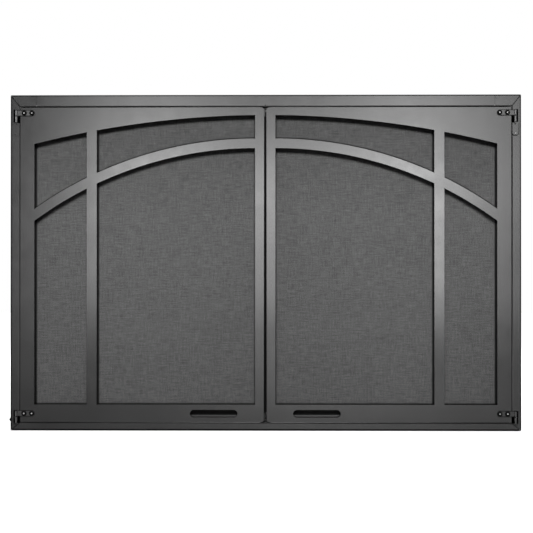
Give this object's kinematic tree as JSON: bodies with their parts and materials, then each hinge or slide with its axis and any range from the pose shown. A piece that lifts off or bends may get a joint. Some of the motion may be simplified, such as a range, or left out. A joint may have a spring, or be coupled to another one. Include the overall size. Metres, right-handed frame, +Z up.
{
  "type": "fireplace screen",
  "caption": "Fireplace front: a mitred steel frame with two arched, mesh-backed doors that swing out on lift-off strap hinges.",
  "frame": {"origin": "middle of the bottom rail's underside, where the screen stands on the hearth, half-way through its depth", "axes": "+X to the right along the bottom rail as seen from the room, -Y out of the doors into the room, +Z up"},
  "size_m": [1.0703, 0.0395, 0.702],
  "materials": {
    "frame_sheet": "satin charcoal powder coat",
    "door_sheet": "satin charcoal powder coat",
    "wire_mesh": "fine woven wire, matt black paint",
    "hinge_leaf": "semi-gloss black",
    "fastener": "glossy black oxide",
    "hinge_pin": "bright turned steel",
    "retainer": "matt charcoal paint",
    "magnet": "dark sintered ferrite"
  },
  "bodies": {
    "frame": {"top_rail": "frame_sheet", "top_rail_left_end": "frame_sheet", "top_rail_right_end": "frame_sheet", "bottom_rail": "frame_sheet", "left_rail": "frame_sheet", "right_rail": "frame_sheet", "top_left_gusset": "frame_sheet", "top_right_gusset": "frame_sheet", "bottom_left_gusset": "frame_sheet", "bottom_right_gusset": "frame_sheet", "centre_stop_bar": "frame_sheet", "top_magnet": "magnet", "bottom_magnet": "magnet", "stop_bar_top_screw": "fastener", "stop_bar_bottom_screw": "fastener", "left_frame_top_leaf": "hinge_leaf", "left_top_hinge_pin": "hinge_pin", "left_frame_bottom_leaf": "hinge_leaf", "left_bottom_hinge_pin": "hinge_pin", "left_leaf_rivet": "fastener", "right_frame_top_leaf": "hinge_leaf", "right_top_hinge_pin": "hinge_pin", "right_frame_bottom_leaf": "hinge_leaf", "right_bottom_hinge_pin": "hinge_pin", "right_leaf_rivet": "fastener", "left_corner_screw": "fastener"},
    "left_door": {"left_door_skin": "door_sheet", "left_mesh_panel": "wire_mesh", "left_mesh_top_retainer": "retainer", "left_mesh_top_rivet": "fastener", "left_mesh_bottom_retainer": "retainer", "left_mesh_bottom_rivet": "fastener", "left_mesh_outer_retainer": "retainer", "left_mesh_outer_rivet": "fastener", "left_mesh_inner_retainer": "retainer", "left_mesh_inner_rivet": "fastener", "left_door_top_leaf": "hinge_leaf", "left_top_strap_screw_1": "fastener", "left_top_strap_screw_2": "fastener", "left_door_bottom_leaf": "hinge_leaf", "left_bottom_strap_screw_1": "fastener", "left_bottom_strap_screw_2": "fastener"},
    "right_door": {"right_door_skin": "door_sheet", "right_mesh_panel": "wire_mesh", "right_mesh_top_retainer": "retainer", "right_mesh_top_rivet": "fastener", "right_mesh_bottom_retainer": "retainer", "right_mesh_bottom_rivet": "fastener", "right_mesh_outer_retainer": "retainer", "right_mesh_outer_rivet": "fastener", "right_mesh_inner_retainer": "retainer", "right_mesh_inner_rivet": "fastener", "right_door_top_leaf": "hinge_leaf", "right_top_strap_screw_1": "fastener", "right_top_strap_screw_2": "fastener", "right_door_bottom_leaf": "hinge_leaf", "right_bottom_strap_screw_1": "fastener", "right_bottom_strap_screw_2": "fastener"}
  },
  "joints": [
    {"name": "left_door_hinge", "type": "hinge", "parent": "frame", "child": "left_door", "pos_m": [-0.5224, -0.01995, 0.351], "axis": [0, 0, -1], "range_deg": [0, 170]},
    {"name": "right_door_hinge", "type": "hinge", "parent": "frame", "child": "right_door", "pos_m": [0.5224, -0.01995, 0.351], "axis": [0, 0, 1], "range_deg": [0, 170]}
  ]
}
